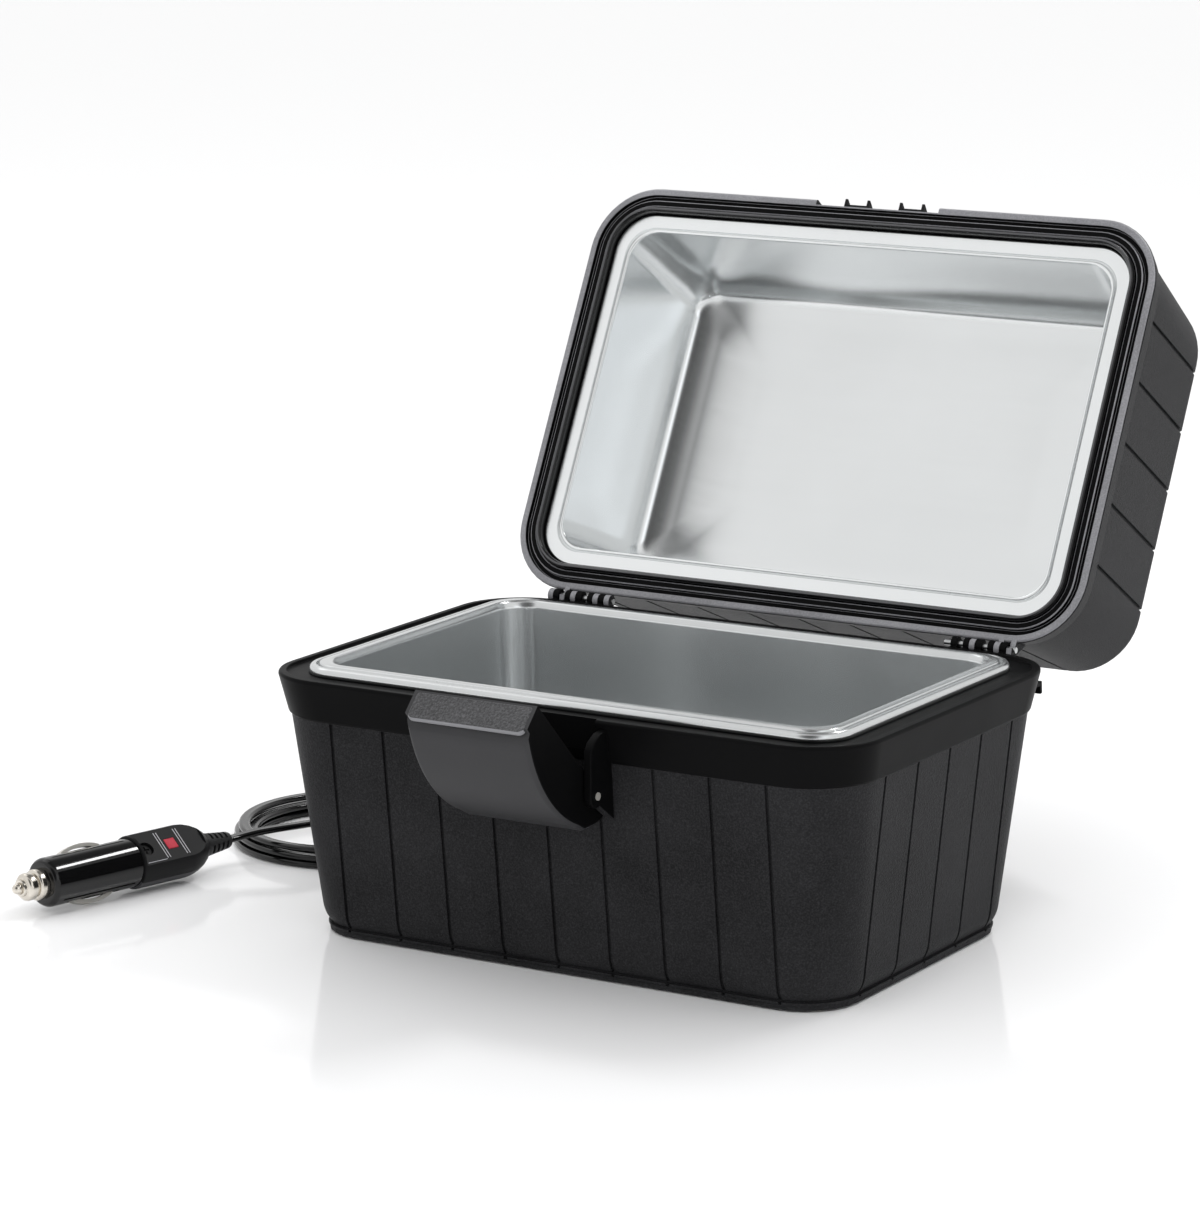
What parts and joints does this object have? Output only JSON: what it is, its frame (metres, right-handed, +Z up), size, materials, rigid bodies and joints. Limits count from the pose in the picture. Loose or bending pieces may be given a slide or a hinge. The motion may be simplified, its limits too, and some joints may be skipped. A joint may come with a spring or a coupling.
{
  "type": "electric lunch box",
  "caption": "Portable food warmer: deep black tub and hinged deep lid, both lined with metal pans, a front latch and a lead ending in a vehicle socket plug.",
  "frame": {"origin": "centre of the surface that the tub's feet stand on, under the middle of the tub", "axes": "+Z up, X along the tub's width with +X to the right, -Y towards the latch and the front, +Y towards the hinges; drawn with the lid and the latch open"},
  "size_m": [0.3645, 0.3787, 0.2654],
  "materials": {
    "black_shell": "satin moulded plastic",
    "latch_plastic": "satin moulded plastic",
    "black_gloss": "gloss",
    "red_lens": "gloss",
    "liner_aluminium": "satin sheet",
    "nickel": "nickel plate",
    "steel": "plain",
    "rubber": "matt",
    "lead_sheath": "satin",
    "red_wire": "satin",
    "white_wire": "satin",
    "mica": "mica sheet",
    "phenolic": "matt",
    "glass_wool": "needled glass fibre",
    "blue_crimp": "gloss",
    "clear_glass": "clear",
    "brass": "plain"
  },
  "bodies": {
    "base": {"base_insulation_pad": "glass_wool", "base_insulation_sleeve": "glass_wool", "base_liner": "liner_aluminium", "base_shell": "black_shell", "bottom_cover": "black_shell", "clamp_nuts": "nickel", "cord_bushing": "rubber", "cord_coil": "lead_sheath", "cord_lead": "lead_sheath", "cord_tail": "lead_sheath", "cover_screws": "nickel", "crimp_connectors": "blue_crimp", "element_lead": "white_wire", "heater_clamp": "steel", "heater_element": "mica", "hinge_pins": "steel", "latch_pin": "nickel", "plug_barrel": "black_gloss", "plug_boot": "rubber", "plug_housing_bottom": "black_shell", "plug_housing_top": "black_shell", "plug_lamp": "red_lens", "plug_nose_cap": "nickel", "plug_screw": "nickel", "plug_spring": "steel", "plug_terminal": "brass", "rubber_feet": "rubber", "supply_lead_negative": "lead_sheath", "supply_lead_positive": "red_wire", "thermal_fuse": "steel", "thermostat": "phenolic", "thermostat_lead": "red_wire"},
    "lid": {"lid_shell": "black_shell", "lid_liner": "liner_aluminium", "lid_gasket": "rubber", "lid_insulation": "glass_wool"},
    "latch": {"latch_flap": "latch_plastic"},
    "plug_tip": {"plug_tip": "nickel", "plug_fuse": "clear_glass"},
    "contact_right": {"plug_contact_right": "nickel"},
    "contact_left": {"plug_contact_left": "nickel"}
  },
  "joints": [
    {"name": "lid_hinge", "type": "hinge", "parent": "base", "child": "lid", "pos_m": [0, 0.092, 0.1058], "axis": [1, 0, 0], "range_deg": [0, 117.6]},
    {"name": "latch_pivot", "type": "hinge", "parent": "base", "child": "latch", "pos_m": [0, -0.095, 0.078], "axis": [-1, 0, 0], "range_deg": [0, 45.5]},
    {"name": "plug_tip_slide", "type": "slide", "parent": "base", "child": "plug_tip", "axis": [0.2504, 0.9681, 0], "range_m": [0, 0.0025], "stiffness_N_per_m": 400, "springref_m": -0.004, "deforming": ["plug_spring"]},
    {"name": "contact_right_press", "type": "slide", "parent": "base", "child": "contact_right", "axis": [-0.3783, 0.0978, 0.9205], "range_m": [0, 0.0018], "stiffness_N_per_m": 300, "springref_m": -0.002},
    {"name": "contact_left_press", "type": "slide", "parent": "base", "child": "contact_left", "axis": [0.3783, -0.0978, -0.9205], "range_m": [0, 0.0018], "stiffness_N_per_m": 300, "springref_m": -0.002}
  ]
}
